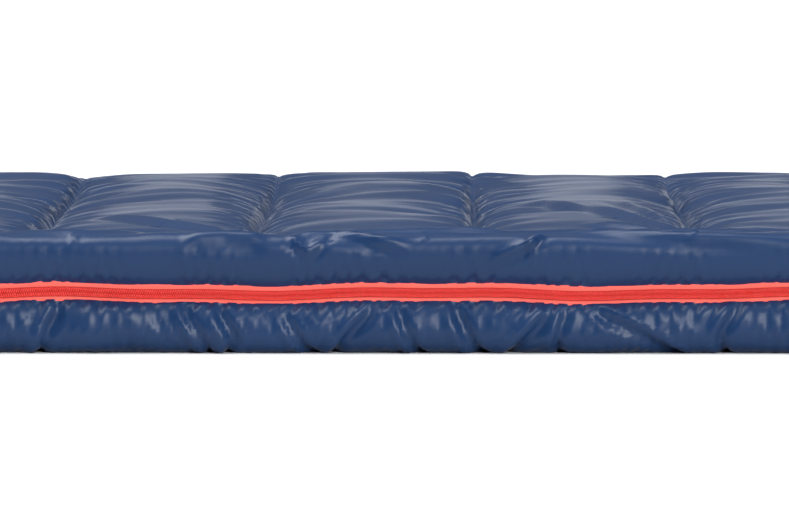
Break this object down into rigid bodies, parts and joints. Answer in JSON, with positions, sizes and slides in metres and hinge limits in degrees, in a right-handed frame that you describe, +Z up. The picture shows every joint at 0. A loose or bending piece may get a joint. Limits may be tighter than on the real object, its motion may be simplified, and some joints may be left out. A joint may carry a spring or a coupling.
{
  "type": "rectangular sleeping bag",
  "caption": "Quilted rectangular sleeping bag lying flat, with a two-way zip round one long side and the foot end, and a fold along the other long side.",
  "frame": {"origin": "middle of the underside, on the floor that the bag lies on", "axes": "+X towards the open head end, +Y from the zipped long side towards the folded one, +Z up"},
  "size_m": [1.934, 0.7531, 0.08],
  "materials": {
    "shell_cloth": "shiny calendered polyester taffeta, navy",
    "lining_cloth": "matt brushed polyester, grey",
    "filling": "white polyester fibre",
    "zip_tape": "woven polyester tape, coral red",
    "zip_coil": "polyester monofilament, red",
    "zip_end": "moulded, red",
    "slider_metal": "die cast, gunmetal",
    "webbing": "woven polyester webbing, navy",
    "label": "blank satin tape",
    "tab_cloth": "polyester taffeta, navy",
    "hook_tape": "woven hook tape",
    "loop_tape": "woven loop tape"
  },
  "bodies": {
    "base": {"lower_shell": "shell_cloth", "lower_filling": "filling", "lower_lining": "lining_cloth", "fold_shell": "shell_cloth", "fold_filling": "filling", "fold_lining": "lining_cloth", "zip_tape_lower": "zip_tape", "zip_coil_lower": "zip_coil", "zip_top_stop_lower": "slider_metal", "zip_retainer_box": "zip_end", "draft_tube_side": "lining_cloth", "draft_tube_foot": "lining_cloth", "hang_loops": "webbing", "care_label": "label", "closing_tab_loop_patch": "loop_tape"},
    "cover": {"upper_shell": "shell_cloth", "upper_filling": "filling", "upper_lining": "lining_cloth", "zip_tape_upper": "zip_tape", "zip_coil_upper": "zip_coil", "zip_top_stop_upper": "slider_metal", "zip_insertion_pin": "zip_end", "closing_tab_anchor": "tab_cloth"},
    "tab": {"closing_tab": "tab_cloth", "closing_tab_hook_patch": "hook_tape"},
    "head_slider": {"head_slider_body": "slider_metal", "head_slider_outer_bail": "slider_metal", "head_slider_inner_bail": "slider_metal"},
    "head_pull_outer": {"head_pull_outer": "slider_metal"},
    "head_pull_inner": {"head_pull_inner": "slider_metal"},
    "foot_slider": {"foot_slider_body": "slider_metal", "foot_slider_outer_bail": "slider_metal", "foot_slider_inner_bail": "slider_metal"},
    "foot_pull_outer": {"foot_pull_outer": "slider_metal"},
    "foot_pull_inner": {"foot_pull_inner": "slider_metal"}
  },
  "joints": [
    {"name": "cover_fold", "type": "hinge", "parent": "base", "child": "cover", "pos_m": [0, 0.335, 0.04], "axis": [-1, 0, 0], "range_deg": [0, 179.9], "deforming": ["fold_shell", "fold_filling", "fold_lining"]},
    {"name": "head_slider_slide", "type": "slide", "parent": "base", "child": "head_slider", "axis": [-1, 0, 0], "range_m": [0, 1.735], "deforming": ["zip_tape_lower", "zip_tape_upper", "zip_coil_lower", "zip_coil_upper"]},
    {"name": "foot_slider_slide", "type": "slide", "parent": "base", "child": "foot_slider", "axis": [0, -1, 0], "range_m": [0, 0.568], "deforming": ["zip_tape_lower", "zip_tape_upper", "zip_coil_lower", "zip_coil_upper"]},
    {"name": "head_pull_outer_swing", "type": "hinge", "parent": "head_slider", "child": "head_pull_outer", "pos_m": [0.88, -0.37325, 0.04], "axis": [0, 0, 1], "range_deg": [0, 145]},
    {"name": "head_pull_inner_swing", "type": "hinge", "parent": "head_slider", "child": "head_pull_inner", "pos_m": [0.88, -0.36515, 0.04], "axis": [0, 0, -1], "range_deg": [0, 180]},
    {"name": "foot_pull_outer_swing", "type": "hinge", "parent": "foot_slider", "child": "foot_pull_outer", "pos_m": [-0.94825, 0.288, 0.04], "axis": [0, 0, -1], "range_deg": [0, 180]},
    {"name": "foot_pull_inner_swing", "type": "hinge", "parent": "foot_slider", "child": "foot_pull_inner", "pos_m": [-0.94015, 0.288, 0.04], "axis": [0, 0, 1], "range_deg": [0, 180]},
    {"name": "tab_flap", "type": "hinge", "parent": "cover", "child": "tab", "pos_m": [0, -0.3773, 0.061], "axis": [-1, 0, 0], "range_deg": [0, 160]}
  ]
}
